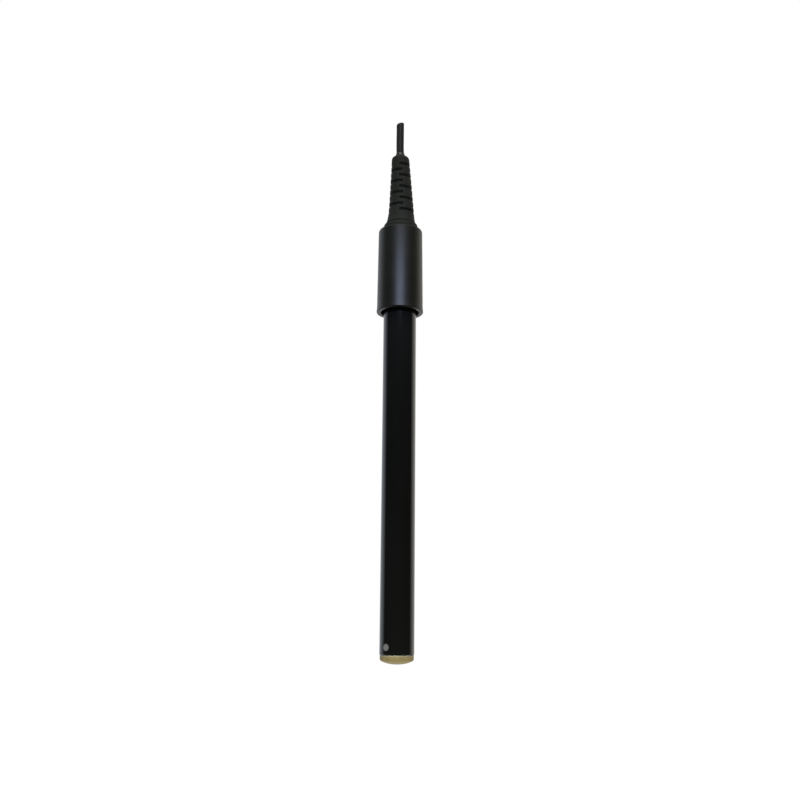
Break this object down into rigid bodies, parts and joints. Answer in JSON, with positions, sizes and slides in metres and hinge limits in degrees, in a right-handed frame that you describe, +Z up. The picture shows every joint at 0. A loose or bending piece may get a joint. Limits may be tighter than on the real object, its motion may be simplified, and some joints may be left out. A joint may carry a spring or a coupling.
{
  "type": "water quality probe",
  "caption": "Slim black electrode for dipping in water, with a khaki sensing tip, a reference junction in its side, a cap and a slotted cable relief.",
  "frame": {"origin": "on the shaft's axis, in the plane of the cap's lower rim, which is where the probe stops in a holder", "axes": "+Z up along the shaft, from the sensing tip to the cable; -Y is the front, where the reference junction shows; +X is to the right seen from the front"},
  "size_m": [0.0172, 0.0172, 0.2021],
  "materials": {
    "shaft_black": "polished black plastic",
    "tip_khaki": "smooth moulded khaki plastic",
    "membrane_amber": "soft amber membrane",
    "junction_grey": "porous grey",
    "inner_plastic": "translucent plastic",
    "seal_rubber": "matt rubber",
    "gel_clear": "clear gel",
    "silver_wire": "drawn silver",
    "silver_chloride": "dull purple-grey coating",
    "epoxy": "cast resin",
    "cap_black": "fine moulded texture",
    "bushing_black": "moulded plastic",
    "relief_rubber": "matt moulded rubber",
    "jacket_black": "smooth cable jacket",
    "braid_metal": "tinned copper braid",
    "dielectric_white": "waxy white plastic",
    "copper": "bright copper",
    "ferrule_metal": "nickel plate",
    "solder": "bright solder",
    "sleeve_red": "heat-shrink tubing"
  },
  "bodies": {
    "probe": {"body_tube": "shaft_black", "sensing_tip": "tip_khaki", "ion_membrane": "membrane_amber", "reference_junction": "junction_grey", "inner_tube": "inner_plastic", "inner_stopper": "seal_rubber", "inner_fill_gel": "gel_clear", "measuring_wire": "silver_wire", "measuring_element": "silver_chloride", "reference_gel": "gel_clear", "reference_wire": "silver_wire", "reference_element": "silver_chloride", "tip_o_ring": "seal_rubber", "chamber_seal": "epoxy", "cap_shell": "cap_black", "tube_bushing": "bushing_black", "tube_o_ring": "seal_rubber", "cap_potting": "epoxy", "strain_relief": "relief_rubber", "crimp_ferrule": "ferrule_metal", "braid_pigtail": "braid_metal", "solder_joints": "solder", "heat_shrink_sleeves": "sleeve_red"},
    "cable": {"cable_jacket": "jacket_black", "cable_braid": "braid_metal", "cable_dielectric": "dielectric_white", "cable_core": "copper"}
  },
  "joints": [
    {"name": "relief_bend", "type": "hinge", "parent": "probe", "child": "cable", "pos_m": [0, 0, 0.05], "axis": [0, 1, 0], "range_deg": [-35, 35], "stiffness_Nm_per_rad": 0.025, "deforming": ["cable_jacket", "cable_braid", "cable_dielectric", "cable_core", "strain_relief"]}
  ]
}
